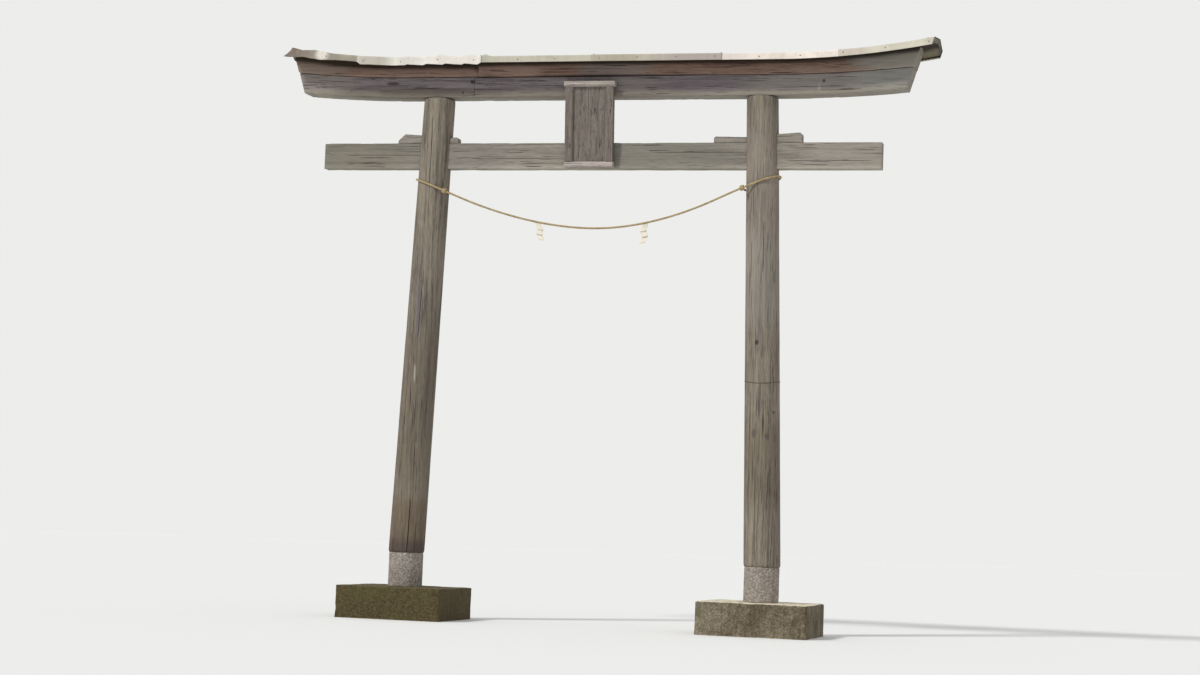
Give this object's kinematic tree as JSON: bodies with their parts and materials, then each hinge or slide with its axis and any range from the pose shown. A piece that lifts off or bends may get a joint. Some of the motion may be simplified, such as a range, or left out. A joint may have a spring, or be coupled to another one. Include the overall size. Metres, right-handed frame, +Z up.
{
  "type": "torii gate",
  "caption": "Wooden torii gate: leaning pillars on square footings carry a wedged tie beam, a plaque and an upswept lintel under a lapped sheet-metal roof, with a straw rope.",
  "frame": {"origin": "on the ground, midway between the two pillars", "axes": "+X along the gate towards the right pillar seen from the front, the front faces -Y, +Z up"},
  "size_m": [4.5385, 0.72, 3.8892],
  "materials": {
    "concrete": null,
    "pillar_wood": "weathered, dry and cracked",
    "weathered_wood": "weathered grey",
    "lintel_wood": "weathered red-brown stain",
    "roof_metal": "thin pale sheet, dulled and dented",
    "plaque_frame_wood": "weathered, paler than the beams",
    "plaque_panel_wood": "bare weathered panel",
    "straw_rope": "dry twisted straw",
    "streamer_paper": "matt white paper"
  },
  "bodies": {
    "root": {"left_footing": "concrete", "left_plinth": "concrete", "left_pillar": "pillar_wood", "right_footing": "concrete", "right_plinth": "concrete", "right_pillar": "pillar_wood", "tie_beam": "weathered_wood", "left_outer_wedge": "weathered_wood", "left_inner_wedge": "weathered_wood", "right_outer_wedge": "weathered_wood", "right_inner_wedge": "weathered_wood", "lower_lintel_left": "lintel_wood", "lower_lintel_right": "lintel_wood", "upper_lintel_left": "lintel_wood", "upper_lintel_right": "lintel_wood", "front_roof_board": "weathered_wood", "back_roof_board": "weathered_wood", "roof_sheet_1": "roof_metal", "roof_sheet_2": "roof_metal", "roof_sheet_3": "roof_metal", "roof_sheet_4": "roof_metal", "roof_sheet_5": "roof_metal", "roof_sheet_6": "roof_metal", "left_end_flashing": "roof_metal", "right_end_flashing": "roof_metal", "plaque_strut": "weathered_wood", "plaque_top_rail": "plaque_frame_wood", "plaque_bottom_rail": "plaque_frame_wood", "plaque_left_stile": "plaque_frame_wood", "plaque_right_stile": "plaque_frame_wood", "plaque_panel": "plaque_panel_wood", "rope": "straw_rope", "left_rope_knot": "straw_rope", "right_rope_knot": "straw_rope", "left_streamer": "streamer_paper", "right_streamer": "streamer_paper"}
  },
  "joints": []
}
